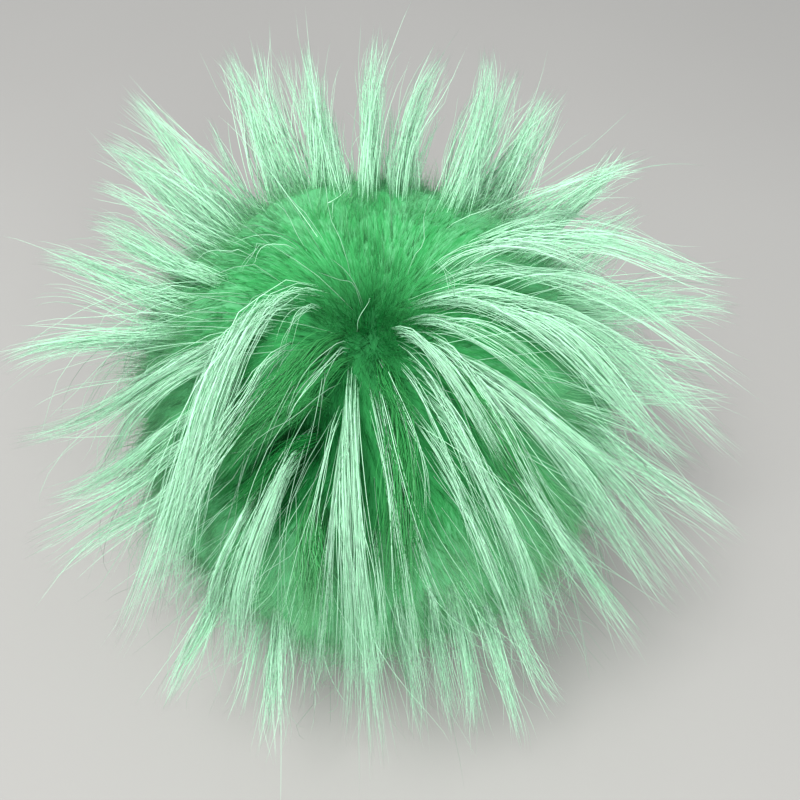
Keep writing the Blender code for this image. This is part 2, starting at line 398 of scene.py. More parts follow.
# The underfur's colour follows its tone more than the place along the hair, so Root is the colour of the painted
# shade at the parting and in the hollows, and Tip that of the pale rim, partly painted light
underfurLook = {
    "name": "underfurHair",
    "Root": (0.002, 0.235, 0.036, 1),
    "Middle": (0.054, 0.400, 0.102, 1),
    "Tip": (0.270, 0.715, 0.350, 1),
    "Middle At": 0.45,
    "Tip At": 1.0,
    "Darkest": 0.62,
    "Along": 0.30,
    "Start": 0.34,
    "Shift": 1.0,
    "shine": 0.06,
    "sheen": 0.25,
    "softness": 0.75,
}
guardMaterial = hairMaterial(guardLook)
underfurMaterial = hairMaterial(underfurLook)


# The body of the underfur: one closed lumpy ball, streaked the way that the fur is combed
bodyLook = {
    "proud": 0.56,  # how much of the fluff's depth it fills
    "tufts": (16.0, 0.0012),  # how close its low tufts stand, and their height
    "lowest": 0.0002,
    "flow": np.array((1.0, 1.0, 0.35)),  # what draws the streaks out along the fur
    "streaks": ((26.0, 4.0), (90.0, 3.0)),  # scale and detail
    "streakShare": 0.55,  # how much they lighten it
    "range": 0.75,
    # The ramp follows the painted shade: its deep colour is the painted shade at the parting and in the hollows,
    # its light colour the paler fur at the rim, partly painted light
    "colors": (  # where each stands, from the deepest to the lightest
        (0.35, (0.005, 0.130, 0.026, 1)),
        (0.85, (0.034, 0.300, 0.080, 1)),
        (1.00, (0.115, 0.450, 0.190, 1)),
    ),
    "bump": (0.5, 0.0008),
    "roughness": 0.85,
    "shine": 0.2,
    "sheen": 0.25,
}


def makeBody():
    body = bmesh.new()
    bmesh.ops.create_icosphere(body, subdivisions=6, radius=1.0)
    ways = unit(np.array([vert.co[:] for vert in body.verts]))
    closeness, height = bodyLook["tufts"]
    radius = ballRadius(ways) + fluffOf(ways) * bodyLook["proud"] + height * noiseAt(ways * closeness)
    places = ball["middle"] + ways * radius[:, None]
    places[:, 2] = np.maximum(places[:, 2], bodyLook["lowest"])
    for vert, place in zip(body.verts, places):
        vert.co = place
    mesh = bpy.data.meshes.new("underfurBody")
    body.to_mesh(mesh)
    body.free()
    mesh.shade_smooth()
    # The fur's flow for the streaks, and the map of its tone with the painted shade and light
    for label, kind, field, values in (
        ("flow", "FLOAT_VECTOR", "vector", aroundCrown(ways) * bodyLook["flow"]),
        ("toneAndPaintedShade", "FLOAT", "value", furToneAndPaintedShadeOf(ways)),
    ):
        attribute = mesh.attributes.new(label, kind, "POINT")
        attribute.data.foreach_set(field, values.reshape(-1).astype(np.float32))
    return mesh


def bodyMaterial():
    material, tree, shader = newMaterial("underfurMass")
    flow = addNode(tree, "Attribute", attribute_name="flow")
    toneAndPaintedShade = addNode(tree, "Attribute", attribute_name="toneAndPaintedShade")
    streaks = []
    for scale, detail in bodyLook["streaks"]:
        inputs = {"Vector": flow.outputs["Vector"], "Scale": scale, "Detail": detail}
        streaks.append(addNode(tree, "TexNoise", inputs).outputs["Fac"])
    both = addNode(tree, "Math", enumerate(streaks), operation="ADD").outputs[0]
    # A share of the streaks, which are the fur's own tone, added to the map of tone with its painted shade and
    # light
    parts = enumerate((both, bodyLook["streakShare"], toneAndPaintedShade.outputs["Fac"]))
    lit = addNode(tree, "Math", parts, operation="MULTIPLY_ADD")
    ranged = addNode(tree, "Math", enumerate((lit.outputs[0], bodyLook["range"])), operation="MULTIPLY")
    ramp = addNode(tree, "ValToRGB", {"Fac": ranged.outputs[0]})
    stops = ramp.color_ramp.elements
    stops.new(bodyLook["colors"][1][0])
    for stop, (position, color) in zip(stops, bodyLook["colors"]):
        stop.position, stop.color = position, color
    strength, distance = bodyLook["bump"]
    bump = addNode(tree, "Bump", {"Strength": strength, "Distance": distance, "Height": both})
    feed(tree, shader, {
        "Base Color": ramp.outputs["Color"],
        "Normal": bump.outputs["Normal"],
        "Roughness": bodyLook["roughness"],
        "Specular IOR Level": bodyLook["shine"],
        "Sheen Weight": bodyLook["sheen"],
        "Sheen Tint": strandLook["sheenTint"],
    })
    return material


body = addPiece("underfurBody", makeBody(), bodyMaterial())
print("underfur body made")


# The underfur's short hairs: they rise from the ball, then lie down the way they are combed
underfur = {
    "count": 41500,
    "atCrown": 1900,
    "strewn": (0.006, 0.11),  # how unevenly they stand, and how far from the parting at the crown
    "lowest": -0.75,
    "denser": (0.6, -0.42),  # towards the top, and towards the front
    "length": (0.016, 0.028),
    "points": 3,
    "width": 0.00023,
    "tipWidth": 0.00005,
    "tuftScale": 7.0,
    "swing": (0.6, 0.16),  # how far they lie aside, by the tuft and each by itself
    "lean": (0.85, 0.3, 0.12),  # how far they lie down, in all, by the tuft and each by itself
    "upright": (16, 0.30),  # within so many degrees of the parting they lean less, down to this share
    "tousled": (14, 0.9),  # and within so many they lie every way, by so much
    "height": (0.60, 1.12),  # of their ends in the fluff, as a share of its depth
    "rooted": 0.45,  # and of their roots
    "rising": 0.7,  # the lower it is, the sooner they rise
    "lengthAt": 0.075,  # from the ball's middle
    "rim": (30, 25),  # degrees from the parting where it starts, and how many it takes
    "fuzz": (0.12, 0.50),  # the share that stands up as fuzz, and how much more of them at the rim
    "fuzzHeight": (1.1, 2.1, 0.7),  # how much higher it stands, least and most, and more at the rim
    "fuzzLean": 0.45,
    "tufts": 4400,
    "gather": 0.14,  # how far their ends are drawn together
    "toneSpread": 0.06,
    "rimFuzzPaintedLight": 0.20,
    "pale": 0.60,
    "paleTones": (0.35, 0.95),
}


def makeUnderfur():
    look = underfur
    count, points = look["count"], look["points"]
    uneven, offParting = look["strewn"]
    ways = evenWays(count) + chance.normal(0, uneven, (count, 3))
    crown = partingEnds[0] + chance.random((look["atCrown"], 1)) * (partingEnds[1] - partingEnds[0])
    ways = unit(np.concatenate((ways, crown + chance.normal(0, offParting, crown.shape))))
    byHeight, byRear = look["denser"]
    kept = chance.random(len(ways)) < 1.0 + byHeight * ways[:, 2] + byRear * ways[:, 1]
    ways = ways[(ways[:, 2] > look["lowest"]) & kept]
    count = len(ways)
    length = chance.uniform(*look["length"], count)
    comb = combed(ways)
    aside = np.cross(ways, comb)
    tuft = np.array([noise.noise_vector(Vector(one)) for one in ways * look["tuftScale"]])
    byTuft, alone = look["swing"]
    swing = tuft[:, :1] * byTuft + alone * chance.normal(0, 1, (count, 1))
    always, byTuft, alone = look["lean"]
    lean = always + byTuft * tuft[:, 1:2] + alone * chance.normal(0, 1, (count, 1))
    apart = np.degrees(fromParting(ways))[:, None]
    within, least = look["upright"]
    lean = lean * np.clip(apart / within, least, 1)
    within, most = look["tousled"]
    swing += most * np.clip(1 - apart / within, 0, 1) * chance.normal(0, 1, (count, 1))
    height = chance.uniform(*look["height"], count)
    # Towards the rim behind the crown more of the hairs stand up as fuzz
    start, run = look["rim"]
    rim = np.clip((apart[:, 0] - start) / run, 0, 1) * np.clip(0.5 + 2 * ways[:, 1], 0, 1)
    share, more = look["fuzz"]
    fuzzy = chance.random(count) < share + more * rim
    low, high, higher = look["fuzzHeight"]
    height = np.where(fuzzy, height * chance.uniform(low, high + higher * rim, count), height)
    lean = np.where(fuzzy[:, None], lean * look["fuzzLean"], lean)
    paths = np.empty((count, points, 3))
    for point in range(points):
        s = point / (points - 1)
        lying = (comb * lean + aside * swing * s) * (length * s / look["lengthAt"])[:, None]
        there = unit(ways + lying)
        raised = look["rooted"] + (height - look["rooted"]) * s ** look["rising"]
        paths[:, point] = ball["middle"] + there * (ballRadius(there) + fluffOf(there) * raised)[:, None]
    paths[..., 2] = np.maximum(paths[..., 2], ball["lowest"])

    # The ends of near hairs gather in small tufts
    centres = evenWays(look["tufts"])
    tree = kdtree.KDTree(len(centres))
    for i, centre in enumerate(centres):
        tree.insert(centre, i)
    tree.balance()
    nearest = np.array([tree.find(one)[1] for one in ways])
    sums = np.zeros((len(centres), points, 3))
    np.add.at(sums, nearest, paths)
    means = sums / np.maximum(np.bincount(nearest, minlength=len(centres)), 1)[:, None, None]
    pull = look["gather"] * np.linspace(0, 1, points)[None, :, None]
    paths = paths * (1 - pull) + means[nearest] * pull
    # The tone carries the painted shade of the ball, and the fuzz at the rim is made lighter still, as painted
    # light on fuzz that stands in shade on the far side
    tones = furToneAndPaintedShadeOf(ways) + chance.normal(0, look["toneSpread"], count) + look["rimFuzzPaintedLight"] * fuzzy * rim
    tones = np.clip(tones, 0, 1)
    radii = tubeRadii(count, points - 1, look["width"], look["tipWidth"])
    # At the rim a share of the fuzz is pale, so that the ball fades into the locks behind it: partly the fur's own
    # paler tips, partly painted light on fuzz that stands in shade behind the rim
    pale = fuzzy & (chance.random(count) < look["pale"] * rim)
    paleTones = chance.uniform(*look["paleTones"], pale.sum())
    addPiece("paleFuzzWithPaintedLight", hairMesh("paleFuzzWithPaintedLight", paths[pale], radii[pale], paleTones), guardMaterial)
    for i, quarter in enumerate(quarters):
        name = "underfur" + quarter
        part = (quarterOf(ways) == i) & ~pale
        addPiece(name, hairMesh(name, paths[part], radii[part], tones[part]), underfurMaterial)


makeUnderfur()
print("underfur hairs made")


# The guard hairs gather in locks. Each row is one lock that shows: where its root stands, how it lifts off, how
# it settles and where its tip comes, each as a bearing, a rise and a reach in mm from the ball's middle, then its
# number of hairs, its half widths in mm from root to tip, and how many mm the roots are strewn along its start.
lockTable = (
    (269, 48, 273, 38, 87, 282, 32, 104, 283, 24, 120, 115, 2.9, 4.5, 3.9, 2.5, 15),
    (267, 46, 265, 33, 86, 279, 30, 104, 277, 20, 119, 12, 0.9, 1.5, 1.5, 1.3, 15),
    (270, 58, 276, 46, 88, 290, 37, 98, 292, 27, 112, 115, 1.7, 3.5, 4.5, 3.8, 15),
    (279, 53, 280, 44, 87, 288, 34, 97, 289, 25, 109, 34, 1.8, 2.7, 2.8, 2.6, 15),
    (303, 46, 299, 47, 90, 301, 41, 109, 301, 35, 123, 140, 4.1, 5.2, 4.9, 3.7, 15),
    (298, 48, 292, 46, 90, 295, 38, 105, 296, 31, 118, 46, 2.5, 3.0, 3.1, 2.8, 15),
    (316, 41, 310, 46, 90, 308, 44, 111, 309, 39, 128, 110, 3.3, 4.7, 3.7, 2.8, 15),
    (320, 43, 312, 47, 86, 319, 43, 101, 320, 39, 110, 20, 1.0, 1.3, 1.3, 1.3, 15),
    (301, 80, 312, 65, 86, 324, 51, 97, 322, 40, 112, 2, 0.3, 0.3, 0.3, 0.3, 2),
    (335, 46, 327, 51, 89, 328, 49, 109, 328, 44, 124, 110, 3.6, 3.8, 3.4, 2.8, 15),
    (337, 46, 333, 52, 89, 331, 50, 109, 335, 45, 123, 55, 2.3, 2.2, 2.2, 1.6, 15),
    (334, 47, 332, 52, 90, 334, 48, 106, 337, 44, 117, 12, 1.0, 0.9, 0.9, 1.0, 15),
    (336, 53, 336, 56, 89, 342, 51, 107, 344, 46, 120, 95, 2.5, 2.8, 2.8, 2.5, 15),
    (337, 47, 336, 53, 93, 338, 50, 106, 339, 45, 120, 14, 1.0, 1.2, 1.2, 1.3, 15),
    (341, 64, 343, 61, 89, 343, 50, 101, 348, 44, 112, 50, 2.7, 2.1, 1.5, 1.0, 15),
    (347, 65, 345, 60, 86, 348, 49, 92, 350, 42, 101, 26, 2.1, 1.8, 1.3, 1.0, 15),
    (356, 67, 357, 63, 91, 359, 53, 106, 1, 47, 121, 120, 2.7, 3.0, 4.2, 6.0, 15),
    (10, 64, 6, 60, 86, 5, 49, 92, 4, 42, 101, 34, 1.5, 1.8, 1.9, 1.3, 15),
    (13, 65, 8, 63, 91, 13, 52, 105, 15, 45, 118, 110, 2.7, 3.0, 3.9, 3.8, 15),
    (17, 64, 16, 60, 87, 19, 48, 93, 16, 42, 102, 12, 0.9, 1.2, 1.6, 1.3, 15),
    (45, 64, 40, 60, 92, 31, 51, 107, 25, 45, 121, 105, 3.9, 3.9, 3.0, 2.2, 15),
    (41, 52, 41, 55, 90, 33, 48, 106, 31, 43, 119, 60, 2.8, 3.1, 3.1, 2.2, 15),
    (30, 51, 27, 55, 86, 23, 48, 100, 25, 42, 110, 24, 1.6, 1.9, 1.9, 1.3, 15),
    (42, 42, 46, 47, 88, 41, 45, 104, 39, 41, 118, 170, 4.9, 4.7, 5.3, 4.7, 15),
    (49, 40, 51, 46, 89, 45, 43, 105, 42, 39, 115, 24, 1.9, 2.2, 2.2, 1.9, 15),
    (43, 42, 52, 45, 90, 59, 39, 106, 60, 33, 119, 90, 2.6, 3.1, 3.4, 3.5, 15),
    (57, 38, 62, 42, 90, 60, 38, 106, 55, 34, 116, 60, 2.6, 3.1, 3.1, 3.2, 15),
    (60, 36, 67, 39, 87, 67, 33, 101, 64, 28, 109, 60, 2.9, 3.8, 3.8, 3.2, 15),
    (66, 32, 73, 35, 82, 69, 31, 97, 67, 26, 105, 42, 3.3, 4.5, 4.1, 2.9, 15),
    (78, 72, 66, 55, 97, 85, 35, 102, 82, 22, 123, 82, 2.3, 4.0, 3.8, 3.1, 22),
    (61, 65, 82, 61, 103, 53, 32, 87, 65, 27, 104, 24, 1.2, 1.7, 1.8, 2.0, 10),
    (85, 78, 79, 72, 91, 99, 60, 99, 102, 49, 100, 28, 0.8, 1.3, 1.8, 1.8, 12),
    (83, 46, 89, 38, 90, 85, 28, 107, 85, 19, 121, 96, 3.6, 4.8, 5.1, 5.0, 15),
    (79, 49, 88, 40, 87, 82, 29, 100, 78, 23, 115, 20, 1.5, 2.4, 2.5, 1.9, 15),
    (109, 81, 90, 64, 99, 88, 27, 93, 95, 13, 121, 48, 0.5, 0.8, 1.4, 2.5, 26),
    (87, 38, 91, 29, 86, 94, 19, 98, 93, 13, 114, 38, 2.4, 3.4, 3.7, 4.5, 15),
    (88, 20, 95, 17, 89, 97, 15, 103, 97, 11, 118, 38, 3.2, 4.1, 3.5, 3.8, 15),
    (127, 82, 110, 69, 100, 99, 20, 89, 105, 7, 121, 90, 0.8, 1.6, 3.1, 4.4, 38),
    (140, 81, 108, 69, 95, 123, 35, 93, 105, 3, 109, 98, 0.8, 1.6, 3.2, 5.5, 38),
    (155, 79, 139, 73, 91, 126, 55, 85, 126, 45, 88, 18, 0.8, 1.0, 1.5, 2.1, 16),
    (144, 79, 144, 70, 90, 131, 52, 86, 130, 41, 88, 18, 1.1, 1.5, 1.8, 2.1, 10),
    (171, 78, 152, 72, 85, 154, 51, 90, 149, 41, 88, 60, 0.8, 1.0, 1.7, 2.8, 12),
    (167, 76, 160, 62, 93, 156, 39, 88, 153, 24, 88, 20, 0.8, 1.5, 2.2, 2.9, 20),
    (136, 77, 149, 62, 94, 145, 36, 83, 144, 24, 100, 32, 0.8, 1.8, 2.5, 3.1, 20),
    (145, 73, 147, 54, 103, 117, 12, 85, 122, -3, 124, 98, 0.8, 1.5, 3.3, 5.3, 40),
    (147, 70, 146, 53, 105, 125, 4, 87, 126, -6, 119, 98, 0.8, 1.5, 3.6, 5.7, 40),
    (119, 39, 117, 23, 87, 116, 10, 104, 115, 2, 125, 62, 2.6, 4.1, 4.5, 5.0, 15),
    (146, 51, 149, 32, 110, 130, -3, 81, 133, -10, 118, 98, 0.8, 1.8, 4.1, 5.7, 32),
    (166, 63, 155, 49, 94, 154, 26, 93, 144, -17, 105, 88, 0.8, 1.8, 2.9, 4.9, 32),
    (171, 61, 163, 44, 96, 158, 25, 89, 150, -18, 107, 40, 1.0, 2.0, 3.1, 4.5, 24),
    (154, 6, 156, -3, 88, 156, -10, 104, 156, -17, 121, 58, 0.6, 2.1, 2.4, 2.8, 6),
    (147, 0, 150, -5, 87, 151, -11, 102, 148, -16, 116, 40, 1.2, 2.5, 2.8, 3.2, 6),
    (165, 24, 162, 6, 82, 162, -9, 97, 163, -19, 115, 80, 0.6, 2.0, 2.7, 5.4, 6),
    (164, 26, 159, 6, 84, 158, -5, 96, 156, -17, 119, 8, 0.3, 0.9, 1.5, 1.9, 4),
    (169, 27, 168, 6, 80, 167, -6, 90, 166, -20, 113, 58, 0.5, 1.7, 2.4, 3.8, 6),
    (176, 25, 175, 5, 80, 173, -10, 94, 171, -21, 112, 42, 0.8, 2.0, 3.0, 4.5, 6),
    (188, 68, 175, 48, 104, 175, 7, 90, 170, -21, 112, 24, 0.8, 1.5, 2.6, 4.5, 22),
    (181, 67, 177, 52, 92, 173, 32, 83, 168, 19, 100, 12, 0.3, 0.5, 1.0, 1.5, 8),
    (196, 70, 189, 49, 91, 182, 35, 97, 185, -21, 111, 78, 0.4, 0.8, 2.0, 4.5, 40),
    (194, 71, 185, 48, 95, 182, 27, 90, 179, -20, 118, 92, 0.4, 0.9, 2.3, 5.4, 40),
    (192, 61, 188, 39, 103, 188, 20, 84, 192, -23, 102, 26, 0.5, 1.0, 1.8, 3.0, 8),
    (192, 60, 193, 50, 86, 192, 44, 89, 193, 20, 88, 9, 0.5, 0.8, 1.0, 1.3, 6),
    (182, 38, 177, 26, 84, 180, -12, 72, 180, -25, 96, 11, 0.3, 0.5, 0.9, 1.7, 4),
    (199, 50, 208, 47, 86, 201, 21, 99, 210, -20, 100, 128, 1.1, 2.1, 3.7, 7.2, 14),
    (213, 38, 205, 34, 104, 216, -8, 83, 215, -18, 104, 34, 0.8, 2.1, 2.6, 2.6, 8),
    (210, -8, 208, -10, 86, 204, -14, 100, 204, -18, 114, 26, 1.0, 1.6, 1.9, 2.6, 5),
    (202, 11, 202, -1, 87, 198, -11, 101, 198, -18, 118, 100, 0.9, 3.0, 4.0, 6.3, 6),
    (197, 15, 198, 1, 80, 197, -12, 90, 199, -21, 104, 12, 0.9, 1.5, 1.9, 2.6, 6),
    (194, 3, 193, -6, 82, 194, -15, 91, 194, -22, 103, 10, 1.8, 2.5, 2.8, 3.3, 5),
    (216, 15, 212, 3, 85, 215, -6, 103, 215, -14, 120, 85, 1.2, 2.7, 3.0, 2.8, 6),
    (236, 79, 272, 62, 87, 207, 39, 110, 226, -10, 117, 74, 0.8, 1.6, 2.6, 6.0, 30),
    (232, 79, 267, 66, 86, 207, 37, 115, 225, -13, 106, 52, 0.8, 1.6, 2.6, 5.5, 30),
    (241, 76, 228, 71, 86, 217, 67, 87, 211, 58, 88, 9, 0.3, 0.8, 1.0, 1.0, 3),
    (236, 58, 218, 41, 101, 216, 29, 85, 225, -16, 96, 30, 1.1, 2.1, 2.4, 3.0, 10),
    (241, 68, 233, 53, 104, 257, 14, 77, 258, 8, 120, 100, 0.8, 1.6, 3.1, 2.8, 24),
    (241, 60, 233, 46, 110, 257, 9, 78, 252, 0, 101, 50, 0.8, 1.6, 2.7, 3.3, 10),
    (260, 46, 265, 34, 88, 269, 24, 106, 267, 15, 122, 115, 1.7, 2.4, 3.0, 4.1, 15),
    (238, 47, 227, 34, 106, 250, 6, 83, 250, 1, 113, 44, 1.4, 2.4, 3.6, 4.5, 10),
    (231, 46, 226, 30, 100, 243, 6, 94, 244, 0, 124, 58, 1.4, 2.7, 4.0, 5.0, 10),
    (224, 41, 220, 27, 102, 241, 4, 92, 239, -3, 120, 44, 1.4, 2.7, 3.8, 4.4, 10),
    (257, 9, 252, 7, 86, 248, 3, 96, 249, 0, 110, 40, 2.6, 3.2, 3.5, 3.9, 15),
    (42, 42, 51, 46, 99, 55, 42, 106, 56, 37, 126, 2, 0.3, 0.3, 0.3, 0.3, 1),
    (57, 41, 61, 44, 109, 66, 38, 123, 69, 32, 131, 2, 0.3, 0.3, 0.3, 0.3, 1),
    (302, 72, 280, 72, 88, 272, 68, 88, 271, 63, 88, 3, 0.3, 0.3, 0.5, 0.5, 2),
    (296, 58, 272, 63, 98, 273, 60, 95, 266, 57, 100, 2, 0.3, 0.3, 0.3, 0.3, 2),
    (299, 63, 270, 67, 88, 258, 66, 87, 248, 64, 88, 2, 0.3, 0.3, 0.3, 0.3, 2),
    (286, 63, 269, 64, 90, 271, 57, 89, 268, 55, 88, 1, 0.3, 0.3, 0.3, 0.3, 2),
    (104, 68, 134, 74, 91, 124, 74, 85, 126, 79, 88, 3, 0.3, 0.5, 0.8, 1.3, 2),
    (207, 84, 204, 83, 92, 219, 76, 83, 259, 81, 88, 2, 0.3, 0.3, 0.3, 0.3, 1),
    (201, 74, 189, 73, 88, 184, 74, 90, 177, 75, 88, 1, 0.3, 0.2, 0.2, 0.2, 1),
    (230, 25, 234, 16, 95, 235, 9, 105, 236, -3, 128, 4, 0.3, 0.3, 0.6, 0.9, 2),
    (215, 41, 217, 41, 98, 238, 21, 84, 253, -1, 98, 2, 0.3, 0.3, 0.3, 0.3, 2),
    (242, 29, 244, 23, 92, 253, 14, 107, 260, 10, 122, 1, 0.3, 0.3, 0.3, 0.3, 2),
    (209, 13, 215, 4, 86, 219, -5, 101, 223, -11, 117, 2, 0.3, 0.3, 0.3, 0.3, 2),
    (210, 67, 207, 61, 90, 209, 46, 86, 207, 37, 88, 2, 0.3, 0.2, 0.2, 0.3, 2),
    (211, 69, 198, 63, 89, 195, 51, 85, 196, 41, 88, 2, 0.3, 0.2, 0.2, 0.2, 2),
    (196, 71, 196, 68, 83, 203, 58, 90, 203, 50, 88, 7, 0.8, 1.2, 1.5, 1.7, 4),
    (255, 48, 236, 41, 99, 271, 14, 97, 262, 10, 116, 2, 0.3, 0.3, 0.3, 0.3, 2),
    (259, 42, 264, 30, 80, 269, 20, 90, 271, 12, 101, 3, 0.3, 0.3, 0.6, 0.7, 3),
    (177, 69, 177, 61, 92, 164, 46, 84, 170, 36, 88, 6, 0.3, 0.5, 0.7, 0.7, 5),
    (169, 70, 166, 59, 94, 159, 40, 85, 161, 28, 88, 9, 0.3, 0.7, 1.2, 1.5, 6),
    (119, 41, 127, 40, 102, 99, 4, 90, 104, 4, 109, 14, 0.9, 1.7, 2.7, 3.2, 8),
    (228, 67, 215, 58, 93, 222, 36, 86, 221, 24, 88, 16, 0.8, 1.3, 1.8, 2.2, 8),
    (220, 58, 215, 49, 91, 220, 31, 90, 219, 21, 100, 18, 1.1, 1.5, 2.0, 2.4, 8),
)
lockLook = {
    "points": 11,
    "width": 0.00022,
    "tipWidth": 0.00007,
    "rootShare": 0.5,
    "thickness": (0.70, 1.10),
    "tones": (0.66, 0.30),  # middle and spread
    "shorter": (0.36, 1.6),  # how much shorter a hair may be, and how seldom it is
    "bends": 0.35,  # how much closer the points of a hair stand where it bends
    "rootsBack": 0.2,  # how far the roots are strewn back and aside, against how far they are strewn on
    "rootsAside": 0.5,
    "rootDepth": 0.001,
    "liftShare": 0.7,
    "spread": 0.76,  # of the table's widths
    "depthShare": 0.7,
    "wispHairs": 2,
    "wispWidth": 0.00036,
    "wispGrowth": (0.7, 3.0),
    "gathered": 0.8,  # the lower it is, the more wisps stand at the lock's outside
    "drift": 0.25,
    "crossing": (0.62, 0.3),  # how far hairs cross over in the lock, and from where along it
    "furthest": 2,
    "loose": 0.09,
    "looseSpread": (4.5, 0.4),
    "bow": (0.0002, 0.24),  # each in metres and as a share of the lock's width
    "wave": (0.0003, 0.17),
    "beats": (6, 12),
    "lowRoots": (5, 35, 0.25),  # from this rise, over so many degrees, and the least share of the fluff's depth
    "fluffShare": (0.85, 1.25),
}


def bezier(ends, steps):
    root, lift, settle, tip = (np.asarray(end)[..., None, :] for end in ends)
    t = steps[..., None]
    return root * (1 - t) ** 3 + lift * 3 * t * (1 - t) ** 2 + settle * 3 * t**2 * (1 - t) + tip * t**3


def closerAtBends(ends, points):
    # Steps along a curve that fall closer together where it bends
    fine = np.linspace(0, 1, 61)
    moves = np.diff(bezier(np.array(ends), fine), axis=0)
    lengths = np.linalg.norm(moves, axis=1)
    turns = np.arccos(np.clip((unit(moves[1:]) * unit(moves[:-1])).sum(-1), -1, 1))
    weight = lengths / lengths.sum() + lockLook["bends"] * np.concatenate(((0.0,), turns))
    total = np.concatenate(((0.0,), np.cumsum(weight)))
    return np.interp(np.linspace(0, total[-1], points), total, fine)


def hairOffsets(hairs, s, widths):
    look = lockLook
    # Hairs stand in wisps, the wisps stand side by side in the lock, and a few hairs stray
    wisps = max(3, hairs // look["wispHairs"])
    turn, out = chance.uniform(0, 2 * math.pi, wisps), chance.random(wisps) ** look["gathered"]
    place = np.stack((np.cos(turn) * out, np.sin(turn) * out * look["depthShare"]), -1)
    drift = chance.normal(0, look["drift"], (wisps, 2))
    wisp = chance.integers(0, wisps, hairs)
    spread = look["spread"] * np.interp(s, (0, 1 / 3, 2 / 3, 1), widths)
    most, crossAt = look["crossing"]
    crossing = chance.normal(0, most, (hairs, 1, 2)) * (s - crossAt)
    offset = (place[wisp][:, None] + drift[wisp][:, None] * np.sin(math.pi * s) + crossing) * spread
    own = np.clip(chance.normal(0, 1, (hairs, 1, 2)), -look["furthest"], look["furthest"])
    least, growth = look["wispGrowth"]
    own = own * look["wispWidth"] * (least + growth * s**2)
    loose = (chance.random(hairs) < look["loose"])[:, None, None]
    wider, least = look["looseSpread"]
    own = np.where(loose, own * wider * (least + s), own)
    fixed, byWidth = look["bow"]
    bow = chance.normal(0, 1, (hairs, 1, 2)) * np.sin(math.pi * s) * (fixed + byWidth * spread)
    beat = chance.uniform(*look["beats"], (hairs, 1, 1)) * s + chance.uniform(0, 6, (hairs, 1, 1))
    fixed, byWidth = look["wave"]
    wave = chance.normal(0, 1, (hairs, 1, 2)) * np.sin(beat) * np.minimum(1.0, 4 * s) * (fixed + byWidth * spread)
    return offset + own + bow + wave


def lockHairs(ends, hairs, widths, strewn, points):
    root, lift, settle, tip = ends
    chord = unit(tip - root)
    side = np.cross(chord, crownWay)
    side = unit(side) if np.linalg.norm(side) > 0.15 else unit(np.cross(chord, (0.0, 1.0, 0.0)))
    shorter, seldom = lockLook["shorter"]
    reach = 1 - shorter * chance.random(hairs) ** seldom
    steps = reach[:, None] * closerAtBends(ends, points)
    # Hairs join the lock one after another, from roots strewn along its start
    rootWay = unit(root - ball["middle"])
    onward = unit(chord - rootWay * (chord @ rootWay))
    along = chance.uniform(-lockLook["rootsBack"] * strewn, strewn, (hairs, 1))
    aside = chance.normal(0, lockLook["rootsAside"] * widths[0] / ball["radius"], (hairs, 1))
    start = unit(rootWay + onward * along / ball["radius"] + np.cross(rootWay, onward) * aside)
    roots = ball["middle"] + start * (ballRadius(start) - lockLook["rootDepth"])[:, None]
    lifts = lift + lockLook["liftShare"] * (roots - root)
    centre = bezier((roots, lifts, np.broadcast_to(settle, roots.shape), np.broadcast_to(tip, roots.shape)), steps)
    ahead = unit(np.gradient(centre, axis=1))
    over = unit(np.cross(np.broadcast_to(side, ahead.shape), ahead))
    across = np.cross(ahead, over)
    offset = hairOffsets(hairs, steps[..., None], widths)
    paths = centre + across * offset[..., :1] + over * offset[..., 1:]
    # Locks that start low on the ball are let hang inside the fluff for longer
    lowest, run, least = lockLook["lowRoots"]
    high = np.clip((riseOf(rootWay) - lowest) / run, least, 1)
    share = high * chance.uniform(*lockLook["fluffShare"], (hairs, 1)) * np.minimum(1.0, 5 * steps[:, 1:])
    paths[:, 1:] = clearOfBall(paths[:, 1:], share)
    return paths


def locksFrom(table):
    found = []
    for row in table:
        lock = np.array(row, float)
        ends = [onBall(way(lock[0], lock[1]))]
        for first in (2, 5, 8):
            ends.append(ball["middle"] + way(lock[first], lock[first + 1]) * lock[first + 2] / 1000)
        found.append((ends, int(lock[11]), lock[12:16] / 1000, lock[16] / 1000))
    return found


# Locks all round the sides and the back, and a few hairs in front of the rim: they rise, arch over and hang, and
# at the foot they lie on the floor
plainLook = {
    "count": 330,
    "points": 8,
    "width": 0.00025,
    "widths": (0.0015, 0.0040, 0.0052, 0.0055),
    "strewn": 0.008,
    "lowestRoot": 0.0065,
    "turned": 5,
    "reach": (0.103, 0.121),
    "arch": (0.30, 0.08),  # how far a lock stands off before it bends, and how much more at the crown
    "arrival": 0.30,
    "fall": ((0.50, 22.0), (0.36, 28.0)),  # share of the rise kept and drop in degrees, rear then front
    "outline": (0.083, 0.105),  # how far the tips stand out from the photo's side, above and below the middle
    "outlineOver": 0.05,  # how far below the middle the second holds
    "shortest": 0.086,
    "footRise": (-14.0, -62.0),  # below the first, locks lie on the floor, and from the second they are shortest
    "footReach": (0.106, 0.060),
    "footVaries": (0.94, 1.04),
    "footHeight": 0.002,
    "hairs": 40,
    "footHairs": (26, -25),  # for locks that start below this rise
    "hairsSide": (11, 96),  # for those within so many degrees of the photo's own direction
    "hairsRim": (2, 84),
    "rimRear": 0.2,  # there are none so close if they start further to the rear than this
    "bareTo": 52,  # and none at all within so many degrees
}


